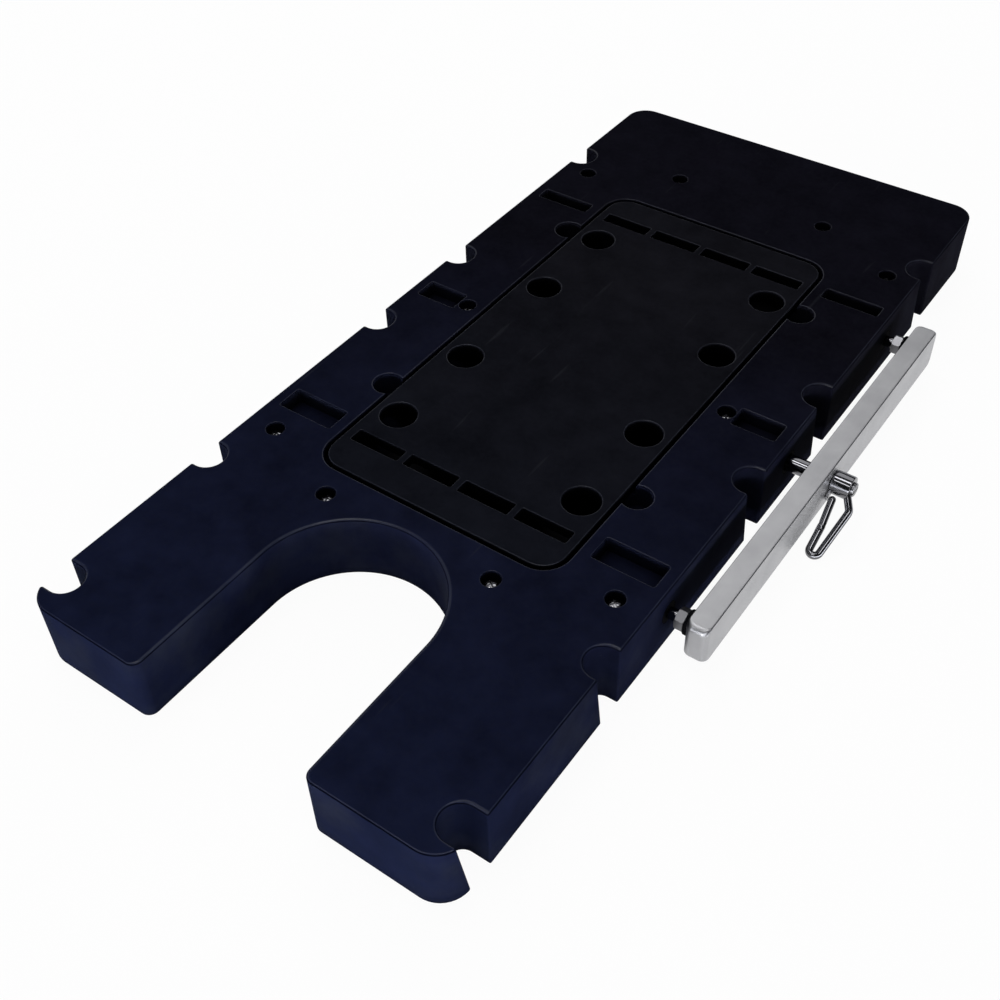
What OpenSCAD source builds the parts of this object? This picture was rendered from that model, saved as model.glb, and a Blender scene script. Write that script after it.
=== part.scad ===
// Equipment mounting board: a hollow moulded board with a lift-out centre plate, a side rail on studs,
// and a lock pin with a snap link.
// +X points to the rail side, +Y to the back end, and +Z up.
// The origin is on the underside, below the middle of the centre plate.

/* [Board] */
// Width of the deck beside the centre plate, on each side
side_w = 66; // [60:1:90]
// Length of the deck behind the centre plate
back_w = 142.2; // [110:0.1:180]
// Length of the deck in front of the centre plate, arms included
front_w = 195.2; // [170:0.1:240]
// Height of the board
board_t = 50; // [46:1:60]
// Thickness of the moulded walls
wall_t = 4; // [3:0.5:5]
// Thickness of the deck
deck_t = 6; // [5:0.5:7]
// Radius of the two back corners
back_corner_r = 18; // [10:1:25]
// Radius of the two outer front corners
front_corner_r = 20; // [10:1:25]
// Radius of the arms' inner front corners
arm_corner_r = 7; // [6:0.5:10]
// Chamfer along the straight outer edges
edge_break = 2.5; // [1:0.5:3]
// Thickness of the ribs under the deck
rib_t = 3; // [2:0.5:4]
// Depth of the ribs under the deck
rib_depth = 14; // [8:1:20]

/* [Front cut-out] */
// Width of the U-shaped cut-out
cut_w = 128; // [100:1:140]
// Deck left between the centre plate and the end of the cut-out
bridge_w = 21.7; // [18:0.1:40]

/* [Edge notches] */
// Radius of an edge notch
notch_r = 12.3; // [8:0.1:13]
// Distance of the centre of a notch's round end from the board's side
notch_inset = 3.5; // [2:0.5:5]
// The same distance for the front pair
front_notch_inset = 9.2; // [4:0.1:12]
// Distance of the middle notches from the plate centre
mid_notch_y = 51; // [40:1:70]
// Distance of the outer notches beyond the plate's ends
end_notch_off = 39.2; // [36:0.1:50]
// Distance of the front notches from the front end
front_notch_off = 25.5; // [24:0.5:40]

/* [Centre plate] */
// Width of the centre plate
plate_w = 188; // [180:1:220]
// Length of the centre plate
plate_l = 384.6; // [360:0.1:420]
// Thickness of the centre plate
plate_t = 8; // [7:0.5:10]
// Radius of the plate's corners
plate_corner_r = 17; // [10:1:25]
// Groove round the plate
plate_gap = 2.6; // [1:0.1:4]
// Width of the ledge under the plate's edge
seat_w = 4.5; // [3:0.1:5]
// Diameter of the large holes
hole_d = 26; // [16:1:27]
// Distance of a hole's centre from the plate's side
hole_edge = 19; // [18:0.5:40]
// Distance between the two inner rows of holes
inner_pitch_y = 101.8; // [90:0.1:110]
// Distance between the two outer rows of holes
outer_pitch_y = 257.4; // [250:0.1:260]
// Width of a slot
slot_w = 11; // [8:0.5:14]
// Bar left between two slots of a row
slot_gap = 5.3; // [4:0.1:8]
// Distance of a slot row's ends from the plate's sides
slot_margin = 7.05; // [6:0.05:12]
// Distance of a slot row from the plate's end
slot_end = 31.8; // [25:0.1:36]
// Thickness of the ribs under the plate
plate_rib_t = 3; // [2:0.5:4]
// Depth of the ribs under the plate
plate_rib_depth = 10; // [4:1:14]

/* [Finger holes] */
// Radius of a finger hole
finger_r = 10.5; // [9:0.5:12]
// Distance of a finger hole's centre from the plate's edge
finger_off = 8.5; // [7:0.5:10]
// Depth of a finger hole
finger_depth = 18; // [14:1:22]
// Distance of the front finger holes from the plate's front end
finger_front = 86.3; // [75:0.1:100]
// Distance of the back finger holes from the plate's back end
finger_back = 64.3; // [55:0.1:75]

/* [Deck pockets] */
// Length of the front and back pockets
pocket_l = 45; // [35:1:46]
// Length of the middle pockets
mid_pocket_l = 33; // [25:1:34]
// Distance of the pockets from the board's side
pocket_edge = 9; // [8.5:0.5:12]
// Depth of the pockets
pocket_depth = 11.5; // [9:0.5:13]
// Wall round a pocket
pocket_wall = 3; // [2:0.5:3.5]
// Width of the front pockets
front_pocket_w = 19.6; // [12:0.1:22]
// Width of the middle pockets
mid_pocket_w = 18; // [12:0.5:20]
// Width of the back pockets
back_pocket_w = 12; // [10:0.5:16]
// Distance of the front pockets from the plate's front end
front_pocket_end = 35.8; // [32:0.1:40]
// Distance of the back pockets from the plate's back end
back_pocket_end = 29.3; // [25:0.1:35]

/* [Deck screws] */
// Thread diameter of a deck screw
screw_d = 6; // [5:0.5:6.5]
// Diameter of a screw's head
head_d = 11.5; // [9:0.5:12]
// Height of a screw's head
head_h = 4; // [3:0.5:5]
// Length of the cross in a screw's head
cross_l = 6.4; // [5:0.1:8]
// Width of the cross in a screw's head
cross_w = 1.2; // [0.8:0.1:1.6]
// Depth of the cross in a screw's head
cross_depth = 2; // [1:0.5:2.5]
// Diameter of the recess over a screw
recess_d = 13; // [12.5:0.5:15]
// Depth of the recess over a screw
recess_depth = 12; // [9:0.5:14]
// Material under a screw's head
screw_seat_t = 5; // [4:0.5:7]
// Outer diameter of a threaded insert
insert_d = 8.6; // [8:0.1:10]
// Length of a threaded insert
insert_l = 12; // [9:0.5:14]
// Length of thread past a nut, and of an insert past its screw
thread_over = 2; // [1:0.5:3]
// Distance of the bridge screws from the cut-out's wall
bridge_screw_off = 26.5; // [22:0.5:32]
// Direction of the bridge screws from the cut-out's centre
bridge_screw_angle = 43.2; // [35:0.1:50]
// Distance of the side screws from the board's side
side_screw_edge = 23.5; // [18:0.5:27]
// Distance of the front side screws behind the plate's front end
front_screw_in = 5.3; // [0:0.1:6]
// Distance of the back side screws beyond the plate's back end
back_screw_off = 17.7; // [15:0.1:20]
// Distance of the middle screws from the plate's edge
mid_screw_off = 16.5; // [14.5:0.5:17]
// Distance of the end screws beyond the plate's back end
end_screw_off = 52.4; // [45:0.1:70]
// Distance of the end screws from the middle line
end_screw_x = 66; // [40:1:90]

/* [Base cover] */
// Thickness of the base cover
base_t = 5; // [4:0.5:7]
// Gap between the base cover and the walls
base_fit = 0.4; // [0.2:0.1:0.8]
// Diameter of the base cover's posts
post_d = 14; // [13:0.5:18]

/* [Side rail] */
// Thickness of the rail
rail_w = 15.5; // [13:0.5:20]
// Height of the rail
rail_h = 30; // [24:1:36]
// Radius of the rail's end corners
rail_corner_r = 5; // [3:0.5:8]
// Radius of the rail's upright end edges
rail_end_r = 4.5; // [2:0.5:6]
// Length of the rail past each stud
rail_over = 14.5; // [12:0.5:30]
// Gap between the board and the rail
rail_gap = 17.8; // [16:0.1:30]
// Depth of the rail's axis below the deck
rail_drop = 21.5; // [20.5:0.5:24]
// Distance between the two studs
stud_pitch = 323; // [300:1:340]
// Diameter of a stud
stud_d = 8; // [7:0.5:10]
// Diameter of a stud inside the board
stud_tail_d = 6; // [5:0.5:6.5]
// Depth of a stud in the rail
stud_grip = 10; // [8:0.5:12]
// Width of a lock nut across its flats
nut_af = 13; // [12:0.5:17]
// Height of a lock nut
nut_h = 6.5; // [5:0.5:8]
// Thickness of a rail washer
rail_washer_t = 4.5; // [2:0.5:6]
// Diameter of a rail washer
rail_washer_d = 17; // [14:0.5:20]
// Diameter of a stud's wall bush
stud_bush_d = 16; // [12:0.5:17]
// Length of a wall bush
bush_l = 10; // [8:0.5:11]
// Depth of the bosses inside the side wall
boss_l = 14; // [13:0.5:18]
// Width of an anchor nut across its flats
anchor_af = 10; // [8:0.5:11]
// Height of an anchor nut
anchor_h = 5; // [4:0.5:6]
// Thickness of an anchor washer
anchor_washer_t = 1.5; // [1:0.5:2]
// Diameter of an anchor washer
anchor_washer_d = 12; // [11.5:0.5:13]

/* [Lock pin] */
// Diameter of the lock pin
pin_d = 12; // [10:0.5:12.5]
// Length of the pin inside the board
pin_reach = 26; // [20:1:36]
// Chamfer on the pin's nose
pin_nose = 1.5; // [0.5:0.5:3]
// Diameter of the spigot that carries the link
spigot_d = 8; // [7:0.5:8.5]
// Diameter of the pin's wall bush
pin_bush_d = 18; // [16:0.5:20]
// Thread diameter of the end screw
end_screw_d = 5; // [4:0.5:5.5]
// Length of the end screw's thread
end_screw_l = 8; // [6:0.5:10]
// Diameter of the end screw's head
end_head_d = 10; // [9:0.5:10.5]
// Height of the end screw's head
end_head_h = 2.2; // [1.5:0.1:3]
// Width of the slot in the end screw's head
end_slot_w = 1.2; // [0.8:0.1:1.6]
// Depth of the slot in the end screw's head
end_slot_depth = 1.1; // [0.8:0.1:1.3]

/* [Snap link] */
// Diameter of the link's barrel
barrel_d = 17; // [12:0.5:18]
// Length of the link's barrel
barrel_l = 13.4; // [12:0.1:15]
// Diameter of the link's bar
bar_d = 5.4; // [4.4:0.1:5.6]
// Distance of the outer arm's root from the barrel's outer end
root_inset = 2; // [1.5:0.1:3]
// Distance from the barrel's inner end to the middle of the tip's bend
tip_off = 10.4; // [9.5:0.1:11.5]
// Radius of the link's tip, to the middle of the bar
tip_r = 3.6; // [3.4:0.1:4.5]
// Distance from the pin's axis to the middle of the tip's bend
tip_reach = 49; // [44:1:60]
// Distance from the pin's axis to the widest point of the link
bulge_reach = 15.5; // [14:0.5:18]
// Bulge of the outer arm past the tip's bend
bulge_out = 4.6; // [3:0.1:6]
// Radius of the bend at the widest point, to the middle of the bar
bulge_r = 6; // [4:0.5:8]
// Swelling of the bar in its bends, on the radius
bend_swell = 0.15; // [0.1:0.05:0.3]
// Distance from the pin's axis to the gate's hinge
hinge_reach = 32; // [30:1:38]
// Diameter of the gate
gate_d = 5.2; // [4.2:0.1:5.4]
// Gap between the gate's tip and the barrel
gate_gap = 1.3; // [0.5:0.1:2]
// Thickness of the hinge tongue
tongue_t = 2; // [1.6:0.1:2.2]
// Diameter of the gate's rivet
rivet_d = 2; // [1.6:0.1:2.2]
// Thickness of the nose that stops the gate
nose_t = 1.9; // [1.5:0.1:2.2]
// Length of the nose that stops the gate
nose_l = 6; // [5:0.5:7]
// Diameter of the gate's spring
spring_d = 2.2; // [1.6:0.1:2.4]
// Length of the gate's spring
spring_l = 9; // [6:0.5:11]

/* [Clearances] */
// Running clearance of a pin in its hole, on the radius
run_fit = 0.05; // [0.02:0.01:0.1]
// Clearance of a thread or pressed piece, on the radius
thread_fit = 0.02; // [0.01:0.01:0.05]
// Clearance between faces that pass or rest near each other
face_gap = 0.3; // [0.2:0.05:0.5]
// Clearance of a screw or stud in a plain hole, on the radius
hole_fit = 0.2; // [0.1:0.05:0.4]

/* [Hidden] */
$fn = 64;
// Small overrun of a cut past a face
over = 1;
// Small overlap of flat shapes that join
seam = 0.01;

// Board
side_x = plate_w / 2 + side_w;
front_y = -plate_l / 2 - front_w;
back_y = plate_l / 2 + back_w;
deck_z = board_t - deck_t;
cut_r = cut_w / 2;
cut_y = -plate_l / 2 - bridge_w - cut_r;
opening_w = plate_w + 2 * plate_gap;
opening_l = plate_l + 2 * plate_gap;
opening_r = plate_corner_r + plate_gap;
ledge_z = board_t - plate_t;
well_w = plate_w - 2 * seat_w;
well_l = plate_l - 2 * seat_w;
well_r = plate_corner_r - seat_w;
hole_x = plate_w / 2 - hole_edge;
slot_l = (plate_w - 2 * slot_margin - 3 * slot_gap) / 4;
slot_pitch = slot_l + slot_gap;
side_notch_y = [mid_notch_y, -mid_notch_y, plate_l / 2 + end_notch_off, -plate_l / 2 - end_notch_off];
front_notch_y = front_y + front_notch_off;

// Pockets, each as its length, width and middle
pocket_floor_z = board_t - pocket_depth;
pocket_out_x = side_x - pocket_edge;
pockets = [
    [pocket_l, front_pocket_w, front_pocket_end - plate_l / 2],
    [mid_pocket_l, mid_pocket_w, 0],
    [pocket_l, back_pocket_w, plate_l / 2 - back_pocket_end]];

// Finger holes
finger_x = plate_w / 2 + finger_off;
finger_y = [finger_front - plate_l / 2, plate_l / 2 - finger_back];

// Deck screws, one of each pair
screw_seat_z = board_t - recess_depth;
post_z = screw_seat_z - screw_seat_t;
column_d = recess_d + 2 * wall_t;
bridge_screw_r = cut_r + bridge_screw_off;
screw_xy = [
    [bridge_screw_r * cos(bridge_screw_angle), cut_y + bridge_screw_r * sin(bridge_screw_angle)],
    [side_x - side_screw_edge, front_screw_in - plate_l / 2],
    [plate_w / 2 + mid_screw_off, 0],
    [side_x - side_screw_edge, plate_l / 2 + back_screw_off],
    [end_screw_x, plate_l / 2 + end_screw_off]];
screw_l = screw_seat_t + insert_l - thread_over;

// Ribs under the deck, across the arms and the back end
arm_rib_y = [front_y + 2 * front_notch_off, (front_y + cut_y) / 2 + front_notch_off, cut_y];
back_rib_y = [plate_l / 2 + end_screw_off + column_d, back_y - 2 * wall_t - back_corner_r];

// Rail, studs and pin, along X
rail_x = side_x + rail_gap;
rail_out_x = rail_x + rail_w;
rail_z = board_t - rail_drop;
rail_l = stud_pitch + 2 * rail_over;
stud_y = stud_pitch / 2;
boss_x = side_x - boss_l;
bush_x = side_x - bush_l;
boss_w = max(stud_bush_d, pin_bush_d) + wall_t;
anchor_x = boss_x - anchor_washer_t;
stud_tail_x = anchor_x - anchor_h - thread_over;
lock_nut_x = rail_x - rail_washer_t - nut_h;
pin_in_x = side_x - pin_reach;
pin_shoulder_x = rail_out_x + face_gap;
barrel_x = pin_shoulder_x + face_gap / 2;
spigot_end_x = barrel_x + barrel_l + face_gap / 2;

// Snap link, with X along the pin and the tip hanging along -Z before it leans
link_mid_x = barrel_x + tip_off;
gate_arm_x = link_mid_x - tip_r;
arm_lean = atan2(bulge_out, tip_reach - bulge_reach);
arm_start = [link_mid_x + tip_r * cos(arm_lean), -tip_reach - tip_r * sin(arm_lean)];
arm_dir = [sin(arm_lean), cos(arm_lean)];
bulge_at = arm_start + arm_dir * (-bulge_reach - arm_start[1]) / arm_dir[1];
arm_root = [barrel_x + barrel_l - root_inset, -spigot_d / 2];
root_dir = (arm_root - bulge_at) / norm(arm_root - bulge_at);
bulge_turn = acos(arm_dir * root_dir);
bulge_cut = bulge_r * tan(bulge_turn / 2);
bulge_centre = bulge_at - bulge_cut * arm_dir + bulge_r * [-arm_dir[1], arm_dir[0]];
arm_top = -hinge_reach - gate_d * sqrt(2) / 2 - face_gap;
tongue_l = gate_d;
gate_tip_x = barrel_x + nose_t + face_gap + gate_d / 2;
gate_tip_z = -barrel_d / 2 - gate_gap - gate_d / 2;
gate_lean = atan2(gate_arm_x - gate_tip_x, hinge_reach + gate_tip_z);
gate_l = norm([gate_arm_x - gate_tip_x, hinge_reach + gate_tip_z]);
fork_l = tongue_l / 2 + face_gap + gate_d / 2;
// The tip rests on the surface that the board lies on
link_lean = asin(min(1, (rail_z - bar_d / 2 - bend_swell - face_gap) / (tip_reach + tip_r)));

// Flat shapes
module rounded_rect(w, l, r) {
    square([w, l - 2 * r], center = true);
    square([w - 2 * r, l], center = true);
    for (x = [-1, 1], y = [-1, 1])
        translate([x * (w / 2 - r), y * (l / 2 - r)]) circle(r);
}

module board_rect(inset) {
    half_w = side_x - inset;
    front_r = front_corner_r - inset;
    back_r = back_corner_r - inset;
    low_y = front_y + inset;
    high_y = back_y - inset;
    translate([-half_w, low_y + front_r]) square([2 * half_w, high_y - back_r - low_y - front_r]);
    translate([front_r - half_w, low_y]) square([2 * (half_w - front_r), 2 * front_r]);
    translate([back_r - half_w, high_y - 2 * back_r]) square([2 * (half_w - back_r), 2 * back_r]);
    for (x = [-1, 1]) {
        translate([x * (half_w - front_r), low_y + front_r]) circle(front_r);
        translate([x * (half_w - back_r), high_y - back_r]) circle(back_r);
    }
}

module cut_out(inset) {
    r = cut_r + inset;
    corner_r = arm_corner_r - inset;
    translate([0, cut_y]) circle(r);
    translate([-r, front_y - over]) square([2 * r, cut_y - front_y + over]);
    for (side = [-1, 1])
        scale([side, 1])
            translate([r - seam, front_y + inset - seam])
                difference() {
                    square(corner_r + seam);
                    translate([corner_r + seam, corner_r + seam]) circle(corner_r);
                }
}

// A notch has a round end and straight flanks that run out to the side
module notch(end_inset, y, inset) {
    r = notch_r + inset;
    translate([side_x - end_inset, y]) {
        circle(r);
        translate([0, -r]) square([end_inset + over, 2 * r]);
    }
}

module notches(inset) {
    for (side = [-1, 1])
        scale([side, 1]) {
            for (y = side_notch_y) notch(notch_inset, y, inset);
            notch(front_notch_inset, front_notch_y, inset);
        }
}

module outline(inset) {
    difference() {
        board_rect(inset);
        cut_out(inset);
        notches(inset);
    }
}

// Solid helpers
module x_cylinder(x0, x1, d, y = 0, z = rail_z) {
    translate([x0, y, z]) rotate([0, 90, 0]) cylinder(d = d, h = x1 - x0);
}

module hex_nut(x0, h, af, hole_r, y) {
    difference() {
        translate([x0, y, rail_z]) rotate([0, 90, 0]) cylinder(d = af / cos(30), h = h, $fn = 6);
        x_cylinder(x0 - over, x0 + h + over, 2 * hole_r, y);
    }
}

module x_ring(x0, h, d, hole_r, y) {
    difference() {
        x_cylinder(x0, x0 + h, d, y);
        x_cylinder(x0 - over, x0 + h + over, 2 * hole_r, y);
    }
}

module at_screws() {
    for (side = [-1, 1], p = screw_xy)
        translate([side * p[0], p[1], 0]) children();
}

module pocket_block(p, wall, z0, z1) {
    translate([pocket_out_x - p[0] - wall, p[2] - p[1] / 2 - wall, z0])
        cube([p[0] + 2 * wall, p[1] + 2 * wall, z1 - z0]);
}

module both_sides() {
    children();
    mirror([1, 0, 0]) children();
}

module edge_chamfers() {
    reach = 2 * max(side_x, back_y - front_y);
    width = edge_break * sqrt(2);
    for (z = [0, board_t]) {
        for (x = [-side_x, side_x])
            translate([x, 0, z]) rotate([0, 45, 0]) cube([width, reach, width], center = true);
        for (y = [front_y, back_y])
            translate([0, y, z]) rotate([45, 0, 0]) cube([reach, width, width], center = true);
    }
}

// Parts of the top shell
module shell_skin() {
    difference() {
        linear_extrude(board_t) outline(0);
        translate([0, 0, -over]) linear_extrude(deck_z + over) outline(wall_t);
        edge_chamfers();
    }
}

module well_frame() {
    frame_z = base_t + face_gap;
    translate([0, 0, frame_z])
        linear_extrude(deck_z - frame_z + over)
            rounded_rect(opening_w + 2 * wall_t, opening_l + 2 * wall_t, opening_r + wall_t);
}

module well_cut() {
    linear_extrude(board_t) rounded_rect(well_w, well_l, well_r);
    translate([0, 0, ledge_z]) linear_extrude(plate_t + over) rounded_rect(opening_w, opening_l, opening_r);
}

module deck_ribs() {
    intersection() {
        linear_extrude(board_t) outline(wall_t / 2);
        for (y = concat(arm_rib_y, back_rib_y))
            translate([-side_x, y - rib_t / 2, deck_z - rib_depth])
                cube([2 * side_x, rib_t, rib_depth + over]);
    }
}

module wall_boss(y) {
    translate([boss_x, y - boss_w / 2, rail_z - boss_w / 2])
        cube([boss_l - wall_t / 2, boss_w, deck_z + over - rail_z + boss_w / 2]);
}

module stud_way(y) {
    x_cylinder(bush_x, side_x + over, stud_bush_d + 2 * thread_fit, y);
    x_cylinder(boss_x - over, side_x, stud_tail_d + 2 * hole_fit, y);
    x_cylinder(stud_tail_x - over, boss_x, anchor_washer_d + 2 * face_gap, y);
}

module top_shell() {
    color([0.07, 0.08, 0.12])
    difference() {
        union() {
            shell_skin();
            well_frame();
            deck_ribs();
            both_sides() {
                for (p = pockets) pocket_block(p, pocket_wall, pocket_floor_z - pocket_wall, deck_z + over);
                for (y = finger_y)
                    translate([finger_x, y, board_t - finger_depth - wall_t])
                        cylinder(r = finger_r + wall_t, h = finger_depth + wall_t - over);
            }
            for (y = [-stud_y, 0, stud_y]) wall_boss(y);
            at_screws() translate([0, 0, post_z]) cylinder(d = column_d, h = deck_z - post_z + over);
        }
        well_cut();
        both_sides() {
            for (p = pockets) pocket_block(p, 0, pocket_floor_z, board_t + over);
            for (y = finger_y)
                translate([finger_x, y, board_t - finger_depth])
                    cylinder(r = finger_r, h = finger_depth + over);
        }
        at_screws() {
            translate([0, 0, screw_seat_z]) cylinder(d = recess_d, h = recess_depth + over);
            translate([0, 0, post_z - over]) cylinder(d = screw_d + 2 * hole_fit, h = recess_depth);
        }
        stud_way(-stud_y);
        stud_way(stud_y);
        x_cylinder(bush_x, side_x + over, pin_bush_d + 2 * thread_fit);
        x_cylinder(pin_in_x - over, side_x, pin_d + 2 * face_gap);
    }
}

module base_cover() {
    color([0.09, 0.09, 0.11])
    difference() {
        union() {
            linear_extrude(base_t) outline(wall_t + base_fit);
            at_screws() cylinder(d = post_d, h = post_z);
        }
        at_screws()
            translate([0, 0, post_z - insert_l]) cylinder(d = insert_d + 2 * thread_fit, h = insert_l + over);
    }
}

module centre_plate() {
    rib_y = inner_pitch_y / 2 + (outer_pitch_y - inner_pitch_y) / 4;
    rib_z = ledge_z - plate_rib_depth;
    rib_w = well_w - 2 * plate_gap;
    color([0.15, 0.15, 0.16])
    difference() {
        union() {
            translate([0, 0, ledge_z]) linear_extrude(plate_t) rounded_rect(plate_w, plate_l, plate_corner_r);
            for (y = [-rib_y, 0, rib_y])
                translate([-rib_w / 2, y - plate_rib_t / 2, rib_z])
                    cube([rib_w, plate_rib_t, plate_rib_depth + over]);
            for (x = [-1, 1])
                translate([x * hole_x / 2 - plate_rib_t / 2, -outer_pitch_y / 2, rib_z])
                    cube([plate_rib_t, outer_pitch_y, plate_rib_depth + over]);
        }
        for (x = [-1, 1], y = [-1, 1], pitch = [inner_pitch_y, outer_pitch_y])
            translate([x * hole_x, y * pitch / 2, rib_z - over])
                cylinder(d = hole_d, h = board_t);
        for (i = [-1.5 : 1.5], y = [-1, 1])
            translate([i * slot_pitch, y * (plate_l / 2 - slot_end), board_t])
                cube([slot_l, slot_w, 2 * (plate_t + over)], center = true);
    }
}

module deck_screws() {
    color([0.62, 0.63, 0.65])
    at_screws()
        translate([0, 0, screw_seat_z])
            difference() {
                union() {
                    cylinder(d = head_d, h = head_h);
                    translate([0, 0, -screw_l]) cylinder(d = screw_d, h = screw_l + over);
                }
                for (a = [0, 90])
                    translate([0, 0, head_h])
                        rotate([0, 0, a]) cube([cross_l, cross_w, 2 * cross_depth], center = true);
            }
}

module thread_inserts() {
    color([0.72, 0.58, 0.3])
    at_screws()
        translate([0, 0, post_z - insert_l])
            difference() {
                cylinder(d = insert_d, h = insert_l);
                translate([0, 0, -over]) cylinder(d = screw_d + 2 * thread_fit, h = insert_l + 2 * over);
            }
}

module rail_bar() {
    color([0.72, 0.72, 0.73])
    difference() {
        intersection() {
            translate([rail_x, 0, rail_z])
                rotate([90, 0, 90]) linear_extrude(rail_w) rounded_rect(rail_l, rail_h, rail_corner_r);
            translate([rail_x + rail_w / 2, 0, rail_z - rail_h / 2])
                linear_extrude(rail_h) rounded_rect(rail_w, rail_l, rail_end_r);
        }
        for (y = [-stud_y, stud_y])
            x_cylinder(rail_x - over, rail_x + stud_grip + face_gap, stud_d + 2 * thread_fit, y);
        x_cylinder(rail_x - over, rail_out_x + over, pin_d + 2 * run_fit);
    }
}

module stud(y) {
    color([0.8, 0.8, 0.82]) {
        x_cylinder(side_x, rail_x + stud_grip, stud_d, y);
        x_cylinder(stud_tail_x, side_x + over, stud_tail_d, y);
    }
}

module front_stud() { stud(-stud_y); }

module back_stud() { stud(stud_y); }

module lock_nut(y) {
    color([0.78, 0.78, 0.8]) hex_nut(lock_nut_x, nut_h, nut_af, stud_d / 2 + thread_fit, y);
}

module front_lock_nut() { lock_nut(-stud_y); }

module back_lock_nut() { lock_nut(stud_y); }

module rail_washer(y) {
    color([0.05, 0.05, 0.05])
        x_ring(lock_nut_x + nut_h, rail_washer_t, rail_washer_d, stud_d / 2 + hole_fit, y);
}

module front_rail_washer() { rail_washer(-stud_y); }

module back_rail_washer() { rail_washer(stud_y); }

module wall_bush(d, hole_r, y) {
    color([0.06, 0.06, 0.07]) x_ring(bush_x, bush_l, d, hole_r, y);
}

module front_wall_bush() { wall_bush(stud_bush_d, stud_tail_d / 2 + run_fit, -stud_y); }

module back_wall_bush() { wall_bush(stud_bush_d, stud_tail_d / 2 + run_fit, stud_y); }

module pin_wall_bush() { wall_bush(pin_bush_d, pin_d / 2 + run_fit, 0); }

module anchor_washer(y) {
    color([0.65, 0.65, 0.66])
        x_ring(anchor_x, anchor_washer_t, anchor_washer_d, stud_tail_d / 2 + hole_fit, y);
}

module front_anchor_washer() { anchor_washer(-stud_y); }

module back_anchor_washer() { anchor_washer(stud_y); }

module anchor_nut(y) {
    color([0.65, 0.65, 0.66])
        hex_nut(anchor_x - anchor_h, anchor_h, anchor_af, stud_tail_d / 2 + thread_fit, y);
}

module front_anchor_nut() { anchor_nut(-stud_y); }

module back_anchor_nut() { anchor_nut(stud_y); }

module lock_pin() {
    color([0.82, 0.82, 0.84])
    difference() {
        union() {
            translate([pin_in_x, 0, rail_z])
                rotate([0, 90, 0]) cylinder(d1 = pin_d - 2 * pin_nose, d2 = pin_d, h = pin_nose);
            x_cylinder(pin_in_x + pin_nose, pin_shoulder_x, pin_d);
            x_cylinder(pin_shoulder_x - over, spigot_end_x, spigot_d);
        }
        x_cylinder(spigot_end_x - end_screw_l - face_gap, spigot_end_x + over, end_screw_d + 2 * thread_fit);
    }
}

module link_end_screw() {
    color([0.8, 0.8, 0.82])
    difference() {
        union() {
            x_cylinder(spigot_end_x - end_screw_l, spigot_end_x + over, end_screw_d);
            x_cylinder(spigot_end_x, spigot_end_x + end_head_h, end_head_d);
        }
        translate([spigot_end_x + end_head_h, 0, rail_z])
            cube([2 * end_slot_depth, end_head_d, end_slot_w], center = true);
    }
}

// The link hangs straight down from the pin's axis here, and leans forward when it is placed
module leaning() {
    translate([0, 0, rail_z]) rotate([link_lean - 90, 0, 0]) children();
}

// A straight stretch of the link's bar, between two points given as X and Z, which runs into its bends
module bar_straight(a, b) {
    v = b - a;
    translate([a[0], 0, a[1]])
        rotate([0, atan2(v[0], v[1]), 0])
            translate([0, 0, -face_gap]) cylinder(d = bar_d, h = norm(v) + 2 * face_gap);
}

// A bend of the link's bar about a centre, from one angle on
module bar_bend(centre, r, from, turn) {
    translate([centre[0], 0, centre[1]])
        rotate([90, 0, 0]) rotate([0, 0, from])
            rotate_extrude(angle = turn) translate([r, 0]) circle(r = bar_d / 2 + bend_swell);
}

module link_bars() {
    bar_straight([gate_arm_x, -tip_reach], [gate_arm_x, arm_top]);
    bar_bend([link_mid_x, -tip_reach], tip_r, 180, 180 - arm_lean);
    bar_straight(arm_start, bulge_at - bulge_cut * arm_dir);
    bar_bend(bulge_centre, bulge_r, -arm_lean, bulge_turn);
    bar_straight(bulge_at + bulge_cut * root_dir, arm_root);
}

module hinge_tongue() {
    translate([gate_arm_x, 0, -hinge_reach]) rotate([90, 0, 0])
        cylinder(d = tongue_l, h = tongue_t, center = true);
    translate([gate_arm_x - tongue_l / 2, -tongue_t / 2, arm_top - over])
        cube([tongue_l, tongue_t, over - hinge_reach - arm_top]);
}

module snap_link() {
    color([0.82, 0.82, 0.84])
    leaning()
        difference() {
            union() {
                x_cylinder(barrel_x, barrel_x + barrel_l, barrel_d, 0, 0);
                translate([barrel_x, -gate_d / 2, over - barrel_d / 2 - nose_l])
                    cube([nose_t, gate_d, nose_l]);
                link_bars();
                hinge_tongue();
            }
            x_cylinder(barrel_x - over, barrel_x + barrel_l + over, spigot_d + 2 * run_fit, 0, 0);
            x_cylinder(barrel_x + barrel_l, bulge_at[0] + bar_d, end_head_d + 2 * face_gap, 0, 0);
            translate([gate_arm_x, 0, -hinge_reach])
                rotate([90, 0, 0]) cylinder(d = rivet_d + 2 * run_fit, h = 2 * bar_d, center = true);
        }
}

// The gate stands on its hinge, leaning to the nose
module at_gate() {
    leaning() translate([gate_arm_x, 0, -hinge_reach]) rotate([0, -gate_lean, 0]) children();
}

module gate() {
    color([0.8, 0.8, 0.82])
    at_gate()
        difference() {
            union() {
                translate([0, 0, -gate_d / 2]) cylinder(d = gate_d, h = gate_l + gate_d / 2);
                translate([0, 0, gate_l]) sphere(d = gate_d);
            }
            translate([-gate_d, -tongue_t / 2 - face_gap, -gate_d])
                cube([2 * gate_d, tongue_t + 2 * face_gap, gate_d + fork_l - gate_d / 2]);
            rotate([90, 0, 0]) cylinder(d = rivet_d + 2 * thread_fit, h = 2 * gate_d, center = true);
            translate([0, 0, tongue_l / 2 + face_gap])
                cylinder(d = spring_d + 2 * run_fit, h = spring_l + face_gap);
        }
}

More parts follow.
